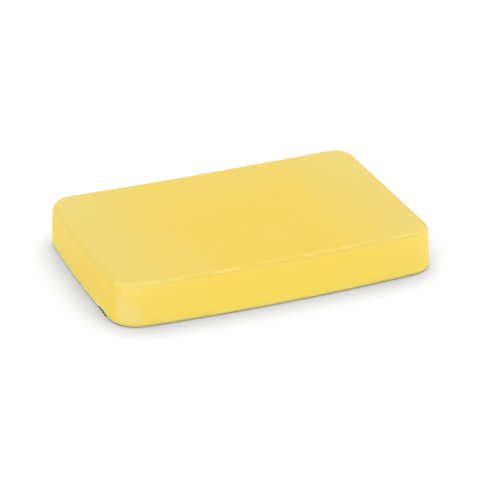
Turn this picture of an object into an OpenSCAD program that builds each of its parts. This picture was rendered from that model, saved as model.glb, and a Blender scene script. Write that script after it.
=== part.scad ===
/* [Bar] */
// Overall length, left to right
bar_l = 91; // [60:0.5:140]
// Overall width, front to back
bar_w = 63.4; // [40:0.2:100]
// Thickness, from the flat base to the flat top
bar_h = 12; // [8:0.5:18]

/* [Edges] */
// Radius of the four upright corners, seen from above, at the foot of the bar
corner_r = 7.5; // [6:0.5:15]
// Radius of the rounded edge around the top
top_edge_r = 2; // [0.5:0.1:3]
// Radius of the rounded edge around the base
foot_edge_r = 1.1; // [0.4:0.1:2.5]
// Lean of the side walls, which lets the bar slip out of its mould, in degrees
draft = 3.1; // [0.5:0.1:5]

/* [Colour] */
// Colour of the clay
clay_colour = "#F4D668";

/* [Hidden] */
$fn = 96;

// Places of the corner axes
corner_x = bar_l / 2 - corner_r;
corner_y = bar_w / 2 - corner_r;

// Section of the wall, measured outwards from a corner axis. The foot rounding touches the
// base under foot_x, the wall leans from one rounding to the other, and the top rounding
// meets the top face over top_x. The ends of the wall lie just inside the roundings, by
// wall_bite, so that they cross cleanly.
wall_bite = 0.001;
out = [cos(draft), sin(draft)];
foot_x = corner_r - foot_edge_r;
foot_touch = [foot_x, foot_edge_r] + (foot_edge_r - wall_bite) * out;
top_z = bar_h - top_edge_r;
top_x = foot_x + foot_edge_r / cos(draft) - (top_z - foot_edge_r) * tan(draft)
    - top_edge_r / cos(draft);
top_touch = [top_x, top_z] + (top_edge_r - wall_bite) * out;

// Half section of the rim, from the corner axis out to the drafted wall
module rim_section() {
    polygon([
        [0, 0],
        [foot_x, 0],
        foot_touch,
        top_touch,
        [top_x, bar_h],
        [0, bar_h],
    ]);
    translate([foot_x, foot_edge_r])
        circle(r = foot_edge_r);
    translate([top_x, top_z])
        circle(r = top_edge_r);
}

// Straight stretch of rim along +Y, with its wall facing +X
module rim_side(length) {
    translate([0, length / 2, 0])
        rotate([90, 0, 0])
            linear_extrude(height = length)
                rim_section();
}

// Quarter of the rim that turns one corner, from +X to +Y
module rim_corner() {
    rotate_extrude(angle = 90)
        rim_section();
}

// The bar: one block of clay, with no cavity and no other piece in it
module clay_bar() {
    color(clay_colour) {
        translate([-corner_x, -corner_y, 0])
            cube([2 * corner_x, 2 * corner_y, bar_h]);
        for (turn = [0, 180]) {
            rotate([0, 0, turn])
                translate([corner_x, 0, 0])
                    rim_side(2 * corner_y);
            rotate([0, 0, turn + 90])
                translate([corner_y, 0, 0])
                    rim_side(2 * corner_x);
        }
        for (side = [-1, 1], end = [-1, 1])
            translate([end * corner_x, side * corner_y, 0])
                rotate([0, 0, atan2(side, end) - 45])
                    rim_corner();
    }
}

clay_bar();
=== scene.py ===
import math

import bpy
from mathutils import Matrix, Vector, noise


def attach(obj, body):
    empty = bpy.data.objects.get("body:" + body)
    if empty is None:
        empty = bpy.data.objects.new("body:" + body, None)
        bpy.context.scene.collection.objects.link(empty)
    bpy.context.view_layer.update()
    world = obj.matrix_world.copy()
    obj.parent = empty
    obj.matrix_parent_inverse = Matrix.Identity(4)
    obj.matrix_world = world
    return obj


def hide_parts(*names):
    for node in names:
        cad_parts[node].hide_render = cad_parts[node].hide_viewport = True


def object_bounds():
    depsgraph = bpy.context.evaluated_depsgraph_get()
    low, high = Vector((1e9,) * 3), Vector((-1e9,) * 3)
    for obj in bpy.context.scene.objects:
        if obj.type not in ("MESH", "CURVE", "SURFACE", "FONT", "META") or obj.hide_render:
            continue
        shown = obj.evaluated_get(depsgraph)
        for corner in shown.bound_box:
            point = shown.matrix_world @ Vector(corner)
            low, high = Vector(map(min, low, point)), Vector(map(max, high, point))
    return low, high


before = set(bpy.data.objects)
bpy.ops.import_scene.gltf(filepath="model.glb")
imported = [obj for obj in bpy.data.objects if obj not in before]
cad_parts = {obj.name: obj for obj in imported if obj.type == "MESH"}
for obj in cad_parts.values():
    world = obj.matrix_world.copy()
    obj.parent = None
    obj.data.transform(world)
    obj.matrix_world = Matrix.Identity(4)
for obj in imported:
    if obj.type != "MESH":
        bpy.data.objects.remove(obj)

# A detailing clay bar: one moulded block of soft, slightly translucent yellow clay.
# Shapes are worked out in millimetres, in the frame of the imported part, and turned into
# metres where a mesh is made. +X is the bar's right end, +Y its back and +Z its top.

cad_low, cad_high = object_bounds()

MM = 0.001

# ---------------------------------------------------------------- sizes of the clay

CORNER_R = 7.0  # upright corners, at the foot
TOP_EDGE_R = 2.0  # rounded edge round the top
FOOT_EDGE_R = 1.1  # rounded edge round the base
DRAFT = math.radians(3.1)  # lean of the walls

# How far the middle of a side stands out past its corners, at the foot and at the top
FRONT_BOW = (2.2, 0.5)
BACK_BOW = (0.0, -0.6)
LEFT_BOW = (1.1, 1.0)
RIGHT_BOW = (0.0, -0.1)

# How far the top sinks between its corners, along the front, the back and the left edge
FRONT_SINK = 0.22
BACK_SINK = 0.27
LEFT_SINK = 0.11
BASE_DISH = 0.15  # hollow in the middle of the base
BASE_LEVEL = 0.01  # points under this height are on the base

# Mesh density: steps along the long and the short sides, and up the walls
LONG_STEPS = 200
SHORT_STEPS = 150
WALL_STEPS = 20
TOP_EDGE_STEPS = 8
FOOT_EDGE_STEPS = 8
CROWDING = 0.5  # how much closer the steps lie near the corners

low = Vector(cad_low) / MM
high = Vector(cad_high) / MM
span_x = high.x - low.x - LEFT_BOW[0] - RIGHT_BOW[0]
span_y = high.y - low.y - FRONT_BOW[0] - BACK_BOW[0]
height = high.z - low.z
mid_x = (low.x + LEFT_BOW[0] + high.x - RIGHT_BOW[0]) / 2
mid_y = (low.y + FRONT_BOW[0] + high.y - BACK_BOW[0]) / 2
mid = Vector((mid_x, mid_y, low.z))


def crowded(count):
    """count + 1 places from 0 to 1, closer together near both ends."""
    places = []
    for i in range(count + 1):
        t = i / count
        places.append(t - CROWDING * math.sin(2 * math.pi * t) / (2 * math.pi))
    return places


LONG_PLACES = crowded(LONG_STEPS)
SHORT_PLACES = crowded(SHORT_STEPS)
RIM_COUNT = 2 * (LONG_STEPS + SHORT_STEPS)


def wall_profile(foot_r):
    """(inset, z) of each level of the rim, from the base's edge up to the top's edge, with
    a rounding of radius foot_r round the base."""
    levels = []
    for i in range(FOOT_EDGE_STEPS + 1):
        a = -math.pi / 2 + (math.pi / 2 + DRAFT) * i / FOOT_EDGE_STEPS
        levels.append((foot_r * (1 - math.cos(a)), foot_r * (1 + math.sin(a))))
    top_z = height - TOP_EDGE_R
    lean = (top_z - foot_r) * math.tan(DRAFT)
    top_in = foot_r + lean + (TOP_EDGE_R - foot_r) / math.cos(DRAFT)
    upper = []
    for i in range(TOP_EDGE_STEPS + 1):
        a = DRAFT + (math.pi / 2 - DRAFT) * i / TOP_EDGE_STEPS
        upper.append((top_in - TOP_EDGE_R * math.cos(a), top_z + TOP_EDGE_R * math.sin(a)))
    foot, head = levels[-1], upper[0]
    for i in range(1, WALL_STEPS):
        k = i / WALL_STEPS
        levels.append((foot[0] + (head[0] - foot[0]) * k, foot[1] + (head[1] - foot[1]) * k))
    return levels + upper


def rim():
    """(anchor, outward direction) of each place round the bar, counter-clockwise from the
    middle of the front left corner. An outline at any inset lies along the directions."""
    half_x = span_x / 2 - CORNER_R
    half_y = span_y / 2 - CORNER_R
    sides = (
        (-math.pi / 2, half_y, half_x, LONG_PLACES),
        (0, half_x, half_y, SHORT_PLACES),
        (math.pi / 2, half_y, half_x, LONG_PLACES),
        (math.pi, half_x, half_y, SHORT_PLACES),
    )
    quarter = math.pi / 4
    bend = CORNER_R * quarter
    found = []
    for facing, depth, run, places in sides:
        out = Vector((math.cos(facing), math.sin(facing)))
        along = Vector((-out.y, out.x))
        for t in places[:-1]:
            path = t * (2 * bend + 2 * run)
            slide = min(max(path - bend - run, -run), run)
            turn = (path - bend - run - slide) / CORNER_R
            a = facing + turn
            found.append((out * depth + along * slide, Vector((math.cos(a), math.sin(a)))))
    return found


def rim_index(i, j):
    """Place round the rim of the grid's edge point (i, j)."""
    if j == 0:
        return i
    if i == LONG_STEPS:
        return LONG_STEPS + j
    if j == SHORT_STEPS:
        return LONG_STEPS + SHORT_STEPS + LONG_STEPS - i
    return (2 * LONG_STEPS + SHORT_STEPS + SHORT_STEPS - j) % RIM_COUNT


def filled_grid(ring):
    """Points of a smooth grid that fills a ring, by row. The ring's own points are its edge."""
    grid = {}
    for j in range(SHORT_STEPS + 1):
        for i in range(LONG_STEPS + 1):
            u, v = LONG_PLACES[i], SHORT_PLACES[j]
            front = ring[rim_index(i, 0)]
            back = ring[rim_index(i, SHORT_STEPS)]
            left = ring[rim_index(0, j)]
            right = ring[rim_index(LONG_STEPS, j)]
            corners = (
                ring[rim_index(0, 0)] * (1 - u) * (1 - v)
                + ring[rim_index(LONG_STEPS, 0)] * u * (1 - v)
                + ring[rim_index(0, SHORT_STEPS)] * (1 - u) * v
                + ring[rim_index(LONG_STEPS, SHORT_STEPS)] * u * v
            )
            grid[i, j] = front * (1 - v) + back * v + left * (1 - u) + right * u - corners
    return grid


def pressed(p):
    """A point of the plain drafted block, moved as the soft clay has bowed and sunk."""
    u = min(max(p.x / (span_x / 2), -1), 1)
    v = min(max(p.y / (span_y / 2), -1), 1)
    w = min(max(p.z / height, 0), 1)
    along, across = 1 - u * u, 1 - v * v
    front = FRONT_BOW[0] * (1 - w) + FRONT_BOW[1] * w
    back = BACK_BOW[0] * (1 - w) + BACK_BOW[1] * w
    left = LEFT_BOW[0] * (1 - w) + LEFT_BOW[1] * w
    right = RIGHT_BOW[0] * (1 - w) + RIGHT_BOW[1] * w
    near, far = (1 - v) / 2, (1 + v) / 2
    sink = along * (FRONT_SINK * near + BACK_SINK * far) + LEFT_SINK * across * (1 - u) / 2
    dish = BASE_DISH * along * across if p.z < BASE_LEVEL else 0.0
    return Vector(
        (
            p.x + across * (right * (1 + u) / 2 - left * (1 - u) / 2),
            p.y + along * (back * far - front * near),
            p.z - w * sink + (1 - w) * dish,
        )
    )


def block_mesh(foot_r):
    """Vertices and quads of the whole closed block, in millimetres from the middle of its
    base."""
    places = rim()
    profile = wall_profile(foot_r)
    points, faces = [], []
    rings = []
    for inset, z in profile:
        ring = [anchor + out * (CORNER_R - inset) for anchor, out in places]
        rings.append(ring)
        points += [Vector((q.x, q.y, z)) for q in ring]
    for level in range(len(profile) - 1):
        a, b = level * RIM_COUNT, (level + 1) * RIM_COUNT
        for i in range(RIM_COUNT):
            n = (i + 1) % RIM_COUNT
            faces.append((a + i, a + n, b + n, b + i))
    for level, upwards in ((0, False), (len(profile) - 1, True)):
        grid = filled_grid(rings[level])
        index = {}
        for j in range(SHORT_STEPS + 1):
            for i in range(LONG_STEPS + 1):
                if i in (0, LONG_STEPS) or j in (0, SHORT_STEPS):
                    index[i, j] = level * RIM_COUNT + rim_index(i, j)
                else:
                    index[i, j] = len(points)
                    points.append(Vector((grid[i, j].x, grid[i, j].y, profile[level][1])))
        for j in range(SHORT_STEPS):
            for i in range(LONG_STEPS):
                quad = (index[i, j], index[i + 1, j], index[i + 1, j + 1], index[i, j + 1])
                faces.append(quad if upwards else quad[::-1])
    return points, faces


# ---------------------------------------------------------------- marks on the clay

# Gentle waves of the pressed faces, as (wavelength, height). They run out towards the base,
# over the height SETTLED_TALL, so that the bar lies flat.
WAVES = ((31.0, 0.10), (12.0, 0.035), (4.5, 0.012))
WAVE_STEP = Vector((7.3, 1.9, 4.1))  # moves each wave to its own part of the noise
SETTLED_TALL = 2.5

# Shallow dents on the top, as (share of the half length, share of the half width, radius, depth)
DENTS = (
    (-0.58, 0.20, 7.0, 0.13),
    (-0.18, -0.52, 2.2, 0.07),
    (0.31, 0.12, 4.2, 0.09),
    (0.66, -0.38, 2.6, 0.08),
    (0.05, 0.70, 2.0, 0.06),
)
TOP_FACING = 0.7  # the top is where the upright part of the normal is more than this

# The torn nick under the foot of the left end, just behind the front left corner: a low
# pocket with a lip over it
NICK_Y = -18.9
NICK_HALF = 3.7
NICK_TALL = 1.1
NICK_DEPTH = 0.3
NICK_REACH = 4.0  # how far in the base is pushed along with the pocket's back wall
NICK_RAGGED = 0.7  # how much the pocket's height varies
NICK_RAGGED_RATE = 1.3  # steps of the noise in a millimetre
NICK_NOISE_PLACE = 3.0  # the part of the noise that the nick uses
POCKET_TOP = (0.75, 1.15)  # where the pocket runs out, as shares of its height
POCKET_FADE = 0.1

# Shreds left standing at the nick, as (y, z, half length, half height, how far out)
FLAKES = (
    (-15.6, 1.2, 0.8, 0.5, 0.35),
    (-22.4, 1.4, 0.8, 0.4, 0.45),
)

# Crumbs of dirt that stand out under the nick, in the same terms
CRUMBS = (
    (-16.4, 0.15, 0.8, 0.50, 0.50),
    (-17.7, 0.15, 1.2, 0.50, 0.70),
    (-19.3, 0.15, 1.3, 0.50, 0.80),
    (-20.9, 0.15, 1.0, 0.55, 0.95),
)

# The stand-in's foot at the left end: how far it stands out and how high that reaches
LEFT_FOOT_OUT = 0.12
LEFT_FOOT_TALL = 0.9
LEFT_FOOT_CLEAR = (0.8, 1.2)  # where it begins beside the nick, in half lengths of the nick

# Ragged foot: how far it is worn in, over what length, and how high it reaches
FOOT_WEAR = 0.35
FOOT_WEAR_LENGTH = 3.1
FOOT_WEAR_TALL = 1.2
FOOT_WEAR_START = 0.1  # noise under this value leaves the foot as it is
FOOT_NOISE_PLACE = 11.0  # the part of the noise that the foot uses


def hump(t):
    """A smooth hump: 1 at the middle, 0 from 1 outwards."""
    return (1 - t * t) ** 2 if abs(t) < 1 else 0.0


def smooth_step(value, start, stop):
    """A smooth step of a value, from 0 at start to 1 at stop."""
    t = min(max((value - start) / (stop - start), 0.0), 1.0)
    return t * t * (3 - 2 * t)


def waves(p):
    """Height of the gentle unevenness at a point."""
    total = 0.0
    for number, (length, tall) in enumerate(WAVES):
        total += tall * noise.noise(p / length + WAVE_STEP * (number + 1))
    return total * min(p.z / SETTLED_TALL, 1.0)


def dents(p):
    """Depth of the shallow dents at a point of the top."""
    total = 0.0
    for u, v, radius, depth in DENTS:
        away = Vector((p.x - u * span_x / 2, p.y - v * span_y / 2)).length
        total += depth * hump(away / radius)
    return total


def nick(p):
    """How far the torn nick moves a point near the left end, outwards."""
    depth_in = p.x + span_x / 2
    if depth_in > NICK_REACH:
        return 0.0
    along = (p.y - NICK_Y) / NICK_HALF
    opening = hump(along * along)
    ragged = noise.noise(Vector((0.0, p.y * NICK_RAGGED_RATE, NICK_NOISE_PLACE)))
    tall = NICK_TALL * (1 + NICK_RAGGED * ragged) * opening
    pocket = 1 - smooth_step(p.z, POCKET_TOP[0] * tall, POCKET_TOP[1] * tall + POCKET_FADE)
    moved = -NICK_DEPTH * opening * pocket
    for y, z, half_y, half_z, out in FLAKES + CRUMBS:
        moved += out * hump((p.y - y) / half_y) * hump((p.z - z) / half_z)
    return moved * hump(max(depth_in, 0.0) / NICK_REACH)


def foot_wear(p):
    """How far the foot's edge is worn in at a point."""
    patchy_highlight = noise.noise(Vector((p.x, p.y, FOOT_NOISE_PLACE)) / FOOT_WEAR_LENGTH)
    return FOOT_WEAR * max(patchy_highlight - FOOT_WEAR_START, 0.0) * hump(p.z / FOOT_WEAR_TALL)


def left_foot(p):
    """How far the stand-in's foot stands out at the left end, away from the nick, so that
    the line of contact is dark."""
    if p.x > -span_x / 2 + NICK_REACH:
        return 0.0
    clear = smooth_step(abs(p.y - NICK_Y) / NICK_HALF, *LEFT_FOOT_CLEAR)
    return LEFT_FOOT_OUT * clear * hump(p.z / LEFT_FOOT_TALL)


def marked(p, normal, is_stand_in):
    """A point of the clay's surface with all its marks."""
    lift = waves(p)
    if normal.z > TOP_FACING:
        lift -= dents(p)
    moved = p + normal * lift - Vector((normal.x, normal.y, 0.0)) * foot_wear(p)
    moved.x -= nick(p)
    if is_stand_in:
        moved.x -= left_foot(p)
    return moved


def clay_object(name, foot_r, is_stand_in=False):
    """The clay as one closed, smooth mesh, with a rounding of radius foot_r round its base."""
    points, faces = block_mesh(foot_r)
    mesh = bpy.data.meshes.new(name)
    mesh.from_pydata([pressed(p) for p in points], [], faces)
    mesh.update()
    shaped = [(vertex.co.copy(), vertex.normal.copy()) for vertex in mesh.vertices]
    for vertex, (p, normal) in zip(mesh.vertices, shaped):
        vertex.co = (marked(p, normal, is_stand_in) + mid) * MM
    mesh.polygons.foreach_set("use_smooth", [True] * len(mesh.polygons))
    mesh.update()
    made = bpy.data.objects.new(name, mesh)
    bpy.context.scene.collection.objects.link(made)
    return made


# ---------------------------------------------------------------- materials


def put(tree, kind, inputs=None, **settings):
    """Adds a node, sets its fields, and gives its inputs values or links."""
    made = tree.nodes.new(kind)
    for field, value in settings.items():
        setattr(made, field, value)
    for socket, value in (inputs or {}).items():
        if isinstance(value, bpy.types.NodeSocket):
            tree.links.new(value, made.inputs[socket])
        else:
            made.inputs[socket].default_value = value
    return made


def new_material(name):
    """An empty node material."""
    made = bpy.data.materials.new(name)
    made.use_nodes = True
    made.node_tree.nodes.clear()
    return made


# Colours of the clay. The top's colours are darker and the walls' lighter, partly as the clay's own tone
# and partly as painted light and shade that offset how much more light the top gets than the walls.
WALL_YELLOW = (0.89, 0.670, 0.093, 1)  # the long walls
PALE_WALL_YELLOW = (0.87, 0.675, 0.145, 1)  # the ends of the long walls
FOOT_GLOW_YELLOW = (0.94, 0.710, 0.096, 1)  # their foot, a painted glow of light leaking in from below, which offsets the shade near the floor
END_YELLOW = (0.845, 0.60, 0.043, 1)  # the end walls, a little deeper
END_FOOT_GLOW_YELLOW = (0.91, 0.68, 0.066, 1)  # the foot of the end walls, the same painted glow
TOP_YELLOW = (0.745, 0.535, 0.046, 1)  # the middle of the top
PALE_YELLOW = (0.715, 0.565, 0.124, 1)  # the ends of the top
RIM_SHADE_YELLOW = (0.55, 0.42, 0.075, 1)  # painted shade on the far rim of the top, a little duller
EDGE_HIGHLIGHT_YELLOW = (0.87, 0.70, 0.210, 1)  # painted highlight and sheen along the edges
TORN_YELLOW = (0.95, 0.85, 0.380, 1)  # the lip of the torn nick
NICK_SHADE_COLOUR = (0.17, 0.12, 0.025, 1)  # painted shade in the nick's pocket

# Lengths of the noises that vary the clay
CLOUD_LENGTH = 14.0  # paler and deeper clouds
PATCH_LENGTH = 5.0  # patches that break up the painted highlight along the edges
GRAIN_LENGTH = 0.6  # grit
CLOUD_SPAN = (0.3, 0.7)  # where most of the clouds' values lie

# Where the body turns paler: over which shares of the half length, and how much of it reaches
# the top, the walls and the back
PALE_ENDS = (0.30, 0.97)
TOP_END_SHARE = 0.75
TOP_BACK_SHARE = 0.35
WALL_END_SHARE = 0.6
TOP_CLOUD_SHARE = 0.15
WALL_CLOUD_SHARE = 0.8  # of the top's
# how high the painted glow at the foot reaches, in millimetres
FOOT_GLOW_TALL = 7.0

# How a face has to turn to count as an end wall, as the top, and as the front or the back
END_TURN = (-0.2, 0.5)  # how much more it faces along the bar than across it
TOP_TURN = (0.20, 0.80)  # how much it faces up
END_TOP_SHIFT = 0.15  # on the ends the top's darker colour begins a little lower, painted shade that offsets the sky light on the upper rounding
FRONT_TURN = (0.0, 0.4)  # how much it faces across the bar

# The painted highlight along the crest of the long edges of the top: from which to which upward facing
# it comes and goes, what is left of it on the end edges, and where along the bar it fades at the right
CREST_RISE = (0.60, 0.80)
CREST_FALL = (0.82, 0.94)
CREST_LEFT_OVER = 0.1
CREST_FADE = (0.4 * span_x, 0.5 * span_x, 1.0, 0.2)

# The painted highlights on the upright corners, strongest at the left, the painted sheen on the shoulder
# over the long walls, and the painted highlight along the edge of the foot. A corner is where a face
# turns both along and across the bar.
CORNER_TURN = (0.0, 0.33)
CORNER_FADE = (-0.25 * span_x, 0.25 * span_x, 0.85, 0.1)
HIGHLIGHT_PATCHES = (0.36, 0.64, 0.30, 0.90)
SHOULDER_RISE = (0.15, 0.6)
SHOULDER_FALL = (0.95, 0.995)
SHOULDER_FADE = (-0.45 * span_x, -0.30 * span_x, 0.65, 0.35)
FOOT_EDGE_HIGHLIGHT = (0.8, 1.9, 0.75, 0.0)

# The painted shade on the far rim: how far a face turns away to the back and the right, and how much it
# faces up
RIM_TURN = (0.03, 0.30, 0.0, 0.5)
RIM_RISE = (0.50, 0.85)

# The nick's tints. Widths are shares of the nick's half length, and the lip's start and the
# top of the painted shade are shares of its height.
LIP_WIDTH = (1.0, 1.4)
LIP_START = (0.8, 1.1)
LIP_TALL = 1.0  # in millimetres, above the nick
LIP_REACH = (-0.9, -0.8)  # where along the half length the lip's tint stops
SHADE_WIDTH = (0.7, 1.0)
SHADE_TOP = (0.7, 1.0)
SHADE_REACH = 2.5  # how far in the painted shade goes under the base, in millimetres


def ramp(tree, value, start, stop, low_end=0.0, high_end=1.0):
    """A smooth step of a value, from low_end at start to high_end at stop."""
    span = {"Value": value, "From Min": start, "From Max": stop, "To Min": low_end, "To Max": high_end}
    return put(tree, "ShaderNodeMapRange", span, interpolation_type="SMOOTHSTEP").outputs[0]


def maths(tree, operation, *values, clamp=False):
    """The result of a maths node."""
    made = put(tree, "ShaderNodeMath", dict(enumerate(values)), operation=operation, use_clamp=clamp)
    return made.outputs[0]


def product(tree, first, *others):
    """All the values multiplied together."""
    for other in others:
        first = maths(tree, "MULTIPLY", first, other)
    return first


def noise_value(tree, place, length, detail):
    """Noise with features of a given length, in millimetres."""
    made = put(tree, "ShaderNodeTexNoise", {"Vector": place, "Scale": 1 / length, "Detail": detail})
    return made.outputs["Fac"]


def blended(tree, share, first, second):
    """A share of the second colour over the first."""
    made = put(tree, "ShaderNodeMix", data_type="RGBA")
    for socket, value in (("Factor_Float", share), ("A_Color", first), ("B_Color", second)):
        target = next(item for item in made.inputs if item.identifier == socket)
        if isinstance(value, bpy.types.NodeSocket):
            tree.links.new(value, target)
        else:
            target.default_value = value
    return next(item for item in made.outputs if item.identifier == "Result_Color")


class Surface:
    """Where a point of the clay is, in millimetres from the middle of the base, and which way
    it faces."""

    def __init__(self, tree):
        given = put(tree, "ShaderNodeTexCoord")
        to_mm = {0: given.outputs["Object"], 1: (1 / MM,) * 3, 2: tuple(-mid)}
        self.place = put(tree, "ShaderNodeVectorMath", to_mm, operation="MULTIPLY_ADD").outputs[0]
        self.x, self.y, self.z = put(tree, "ShaderNodeSeparateXYZ", {0: self.place}).outputs
        facing = put(tree, "ShaderNodeSeparateXYZ", {0: given.outputs["Normal"]}).outputs
        self.facing_x, self.facing_y, self.facing_z = facing
        self.steep_x = maths(tree, "ABSOLUTE", self.facing_x)
        self.steep_y = maths(tree, "ABSOLUTE", self.facing_y)


def body_colour(tree, at, clouds):
    """The plain clay: deeper in the middle, paler at the ends, with a painted glow at the foot, and with
    top and walls in colours set apart partly as painted light and shade.
    """
    end = ramp(tree, maths(tree, "ABSOLUTE", at.x), *(share * span_x / 2 for share in PALE_ENDS))
    back = ramp(tree, at.y, 0.0, span_y / 2, 0.0, TOP_BACK_SHARE)
    drift = ramp(tree, clouds, *CLOUD_SPAN, -TOP_CLOUD_SHARE, TOP_CLOUD_SHARE)
    pale_top = maths(tree, "MULTIPLY_ADD", end, TOP_END_SHARE, back)
    top = blended(tree, maths(tree, "ADD", pale_top, drift, clamp=True), TOP_YELLOW, PALE_YELLOW)
    wall_drift = product(tree, drift, WALL_CLOUD_SHARE)
    pale_wall = maths(tree, "MULTIPLY_ADD", end, WALL_END_SHARE, wall_drift, clamp=True)
    # painted glow at the foot, which offsets the shade near the floor
    foot = ramp(tree, at.z, 0.0, FOOT_GLOW_TALL, 1.0, 0.0)
    long_wall = blended(tree, foot, blended(tree, pale_wall, WALL_YELLOW, PALE_WALL_YELLOW), FOOT_GLOW_YELLOW)
    end_wall = blended(tree, foot, END_YELLOW, END_FOOT_GLOW_YELLOW)
    at_end = ramp(tree, maths(tree, "SUBTRACT", at.steep_x, at.steep_y), *END_TURN)
    wall = blended(tree, at_end, long_wall, end_wall)
    on_top = ramp(tree, maths(tree, "MULTIPLY_ADD", at_end, END_TOP_SHIFT, at.facing_z), *TOP_TURN)
    return blended(tree, on_top, wall, top)


def painted_edge_highlight(tree, at):
    """How far the edges carry painted highlight and sheen, in patches along the crest and on the
    corners, and evenly on the shoulder and at the foot."""
    crest = product(
        tree,
        ramp(tree, at.facing_z, *CREST_RISE),
        ramp(tree, at.facing_z, *CREST_FALL, 1.0, 0.0),
        ramp(tree, at.steep_y, *FRONT_TURN, CREST_LEFT_OVER, 1.0),
        ramp(tree, at.x, *CREST_FADE),
    )
    corner = product(
        tree,
        ramp(tree, product(tree, at.steep_x, at.steep_y, at.steep_y), *CORNER_TURN),
        ramp(tree, at.x, *CORNER_FADE),
    )
    shoulder = product(
        tree,
        ramp(tree, at.facing_z, *SHOULDER_RISE),
        ramp(tree, at.facing_z, *SHOULDER_FALL, 1.0, 0.0),
        ramp(tree, at.steep_y, *FRONT_TURN),
        ramp(tree, at.x, *SHOULDER_FADE),
    )
    patches = ramp(tree, noise_value(tree, at.place, PATCH_LENGTH, 2.0), *HIGHLIGHT_PATCHES)
    patchy_highlight = product(tree, maths(tree, "MAXIMUM", crest, corner), patches)
    # painted highlight along the edge of the foot
    foot_edge = ramp(tree, at.z, *FOOT_EDGE_HIGHLIGHT)
    return maths(tree, "MAXIMUM", maths(tree, "MAXIMUM", patchy_highlight, shoulder), foot_edge)


def painted_rim_shade(tree, at):
    """How far a point is in the painted shade on the rim of the top, along the back and the right end.
    """
    turned_away = ramp(tree, maths(tree, "ADD", at.facing_x, at.facing_y), *RIM_TURN)
    return product(tree, turned_away, ramp(tree, at.facing_z, *RIM_RISE))


def nick_tints(tree, at):
    """How far a point is on the nick's pale lip, and in the painted shade of its pocket."""
    from_nick = maths(tree, "ABSOLUTE", maths(tree, "SUBTRACT", at.y, NICK_Y))
    lip = product(
        tree,
        ramp(tree, from_nick, *(share * NICK_HALF for share in LIP_WIDTH), 1.0, 0.0),
        ramp(tree, at.z, *(share * NICK_TALL for share in LIP_START)),
        ramp(tree, at.z, NICK_TALL, NICK_TALL + LIP_TALL, 1.0, 0.0),
        ramp(tree, at.x, *(share * span_x / 2 for share in LIP_REACH), 1.0, 0.0),
    )
    nick_shade = product(
        tree,
        ramp(tree, from_nick, *(share * NICK_HALF for share in SHADE_WIDTH), 1.0, 0.0),
        ramp(tree, at.z, *(share * NICK_TALL for share in SHADE_TOP), 1.0, 0.0),
        ramp(tree, at.x, -span_x / 2, -span_x / 2 + SHADE_REACH, 1.0, 0.0),
    )
    return lip, nick_shade


def clay_material():
    """Soft, slightly translucent clay with a waxy sheen and fine grit."""
    made = new_material("detailing_clay")
    tree = made.node_tree
    at = Surface(tree)
    clouds = noise_value(tree, at.place, CLOUD_LENGTH, 3.0)
    # painted highlight and sheen on the edges, then painted shade on the far rim
    colour = blended(tree, painted_edge_highlight(tree, at), body_colour(tree, at, clouds), EDGE_HIGHLIGHT_YELLOW)
    colour = blended(tree, painted_rim_shade(tree, at), colour, RIM_SHADE_YELLOW)
    lip, nick_shade = nick_tints(tree, at)
    colour = blended(tree, lip, colour, TORN_YELLOW)
    # painted shade in the nick's pocket
    colour = blended(tree, nick_shade, colour, NICK_SHADE_COLOUR)
    grain = noise_value(tree, at.place, GRAIN_LENGTH, 2.0)
    bump = put(tree, "ShaderNodeBump", {"Height": grain, "Strength": 0.15, "Distance": 0.0001})
    shader = put(
        tree,
        "ShaderNodeBsdfPrincipled",
        {
            "Base Color": colour,
            "Roughness": ramp(tree, clouds, *CLOUD_SPAN, 0.34, 0.44),
            "Normal": bump.outputs[0],
            "IOR": 1.46,
            "Specular IOR Level": 0.3,
            "Subsurface Weight": 0.4,
            "Subsurface Radius": (1.0, 0.7, 0.25),
            "Subsurface Scale": 0.003,
        },
    )
    put(tree, "ShaderNodeOutputMaterial", {"Surface": shader.outputs[0]})
    return made


def plain_material(name, colour):
    """A dull material of one colour, for the stage."""
    made = new_material(name)
    shader = put(made.node_tree, "ShaderNodeBsdfDiffuse", {"Color": (*colour, 1)})
    put(made.node_tree, "ShaderNodeOutputMaterial", {"Surface": shader.outputs[0]})
    return made


# ---------------------------------------------------------------- the stage

FLOOR_SIZE = 6.0  # in metres
FLOOR_WHITE = 0.96  # under these lights the open floor comes out pure white

# The stand-in that shades the floor, a little smaller than the bar and with a sharper foot
SHADOW_GREY = (0.13, 0.105, 0.035)
SHADOW_FOOT_R = 0.87
SHADOW_SHRINK = (0.997, 0.996, 0.99)
SHADOW_LIFT = 0.05  # keeps it clear of the bar's base


def floor_object():
    """A plain floor at the level of the bar's base."""
    half = FLOOR_SIZE / 2
    corners = [(-half, -half, 0), (half, -half, 0), (half, half, 0), (-half, half, 0)]
    mesh = bpy.data.meshes.new("floor")
    mesh.from_pydata(corners, [], [(0, 1, 2, 3)])
    made = bpy.data.objects.new("floor", mesh)
    made.data.materials.append(plain_material("floor_white", (FLOOR_WHITE,) * 3))
    made.location.z = cad_low.z
    bpy.context.scene.collection.objects.link(made)
    return made


def shadow_stand_in(bar):
    """A dull double just inside the bar. Only bounced light sees it, and bounced light
    doesn't see the bar, so that the shade on the floor is nearly neutral and the bar hardly
    tints it yellow. Its foot is sharper than the bar's and stands out at the left end, which
    darkens the line of contact."""
    made = clay_object("shadow_stand_in", SHADOW_FOOT_R, is_stand_in=True)
    made.data.materials.append(plain_material("shadow_grey", SHADOW_GREY))
    foot = mid * MM
    lifted = foot + Vector((0.0, 0.0, SHADOW_LIFT * MM))
    shrink = Matrix.Diagonal((*SHADOW_SHRINK, 1.0))
    made.matrix_world = Matrix.Translation(lifted) @ shrink @ Matrix.Translation(-foot)
    made.visible_camera = False
    made.visible_glossy = False
    made.visible_transmission = False
    made.visible_shadow = False
    bar.visible_diffuse = False
    return made


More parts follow.
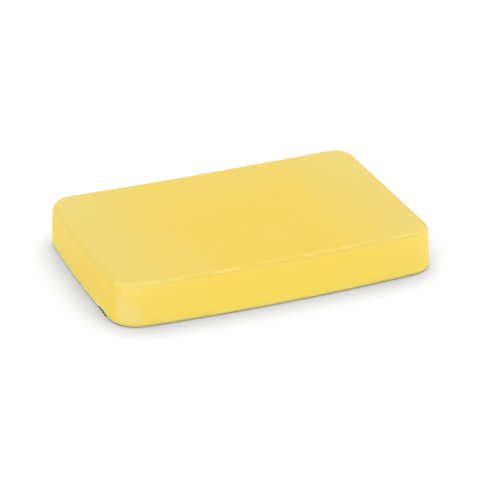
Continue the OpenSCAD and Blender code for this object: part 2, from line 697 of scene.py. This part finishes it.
# The camera, fitted to the view: angles in degrees, distances in bar lengths without bows
AZIMUTH = -21.07
ELEVATION = 25.93
ROLL = -0.90
DISTANCE = 7.649
SIDE_STEP = 0.0023
RISE = 0.0380
LENS = 190.3
SENSOR = 36.0
CLIP = (0.01, 20)  # nearest and furthest distance seen, in metres


def towards(azimuth, elevation):
    """The direction from the bar to a place seen at these angles, in degrees."""
    a, e = math.radians(azimuth), math.radians(elevation)
    return Vector((math.sin(a) * math.cos(e), -math.cos(a) * math.cos(e), math.sin(e)))


def camera_object():
    """The camera of the main view."""
    back = towards(AZIMUTH, ELEVATION)
    level_right = Vector((0, 0, 1)).cross(back).normalized()
    level_up = back.cross(level_right)
    roll = math.radians(ROLL)
    right = level_right * math.cos(roll) + level_up * math.sin(roll)
    up = level_up * math.cos(roll) - level_right * math.sin(roll)
    place = mid + (back * DISTANCE + right * SIDE_STEP + up * RISE) * span_x
    data = bpy.data.cameras.new("camera")
    data.lens = LENS
    data.sensor_width = SENSOR
    data.clip_start, data.clip_end = CLIP
    made = bpy.data.objects.new("camera", data)
    turned = Matrix((right, up, back)).transposed().to_4x4()
    made.matrix_world = Matrix.Translation(place * MM) @ turned
    bpy.context.scene.collection.objects.link(made)
    bpy.context.scene.camera = made
    return made


# The lights. A soft box is (name, azimuth, elevation, distance, size, power), in degrees,
# metres and watts.
SKY_STRENGTH = 1.06
SOFT_BOXES = (
    ("overhead", 160, 58, 0.9, 0.6, 1.25),
    ("key", 15, 60, 1.2, 0.25, 0.34),
)


def world_light(strength):
    """An even white sky."""
    world = bpy.data.worlds.new("studio")
    world.use_nodes = True
    tree = world.node_tree
    tree.nodes.clear()
    back = put(tree, "ShaderNodeBackground", {"Color": (1, 1, 1, 1), "Strength": strength})
    put(tree, "ShaderNodeOutputWorld", {"Surface": back.outputs[0]})
    bpy.context.scene.world = world


def soft_box(name, azimuth, elevation, distance, size, power):
    """A square light that faces the bar."""
    back = towards(azimuth, elevation)
    data = bpy.data.lights.new(name, "AREA")
    data.size = size
    data.energy = power
    made = bpy.data.objects.new(name, data)
    made.location = mid * MM + back * distance
    made.rotation_mode = "QUATERNION"
    made.rotation_quaternion = back.to_track_quat("Z", "Y")
    made.visible_camera = False
    bpy.context.scene.collection.objects.link(made)
    return made


bar = clay_object("clay_bar_soft", FOOT_EDGE_R)
bar.data.materials.append(clay_material())
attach(bar, "root")
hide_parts("clay_bar")

floor = floor_object()
grey = shadow_stand_in(bar)

camera_object()
world_light(SKY_STRENGTH)
for box in SOFT_BOXES:
    soft_box(*box)
bpy.context.scene.view_settings.view_transform = "Standard"
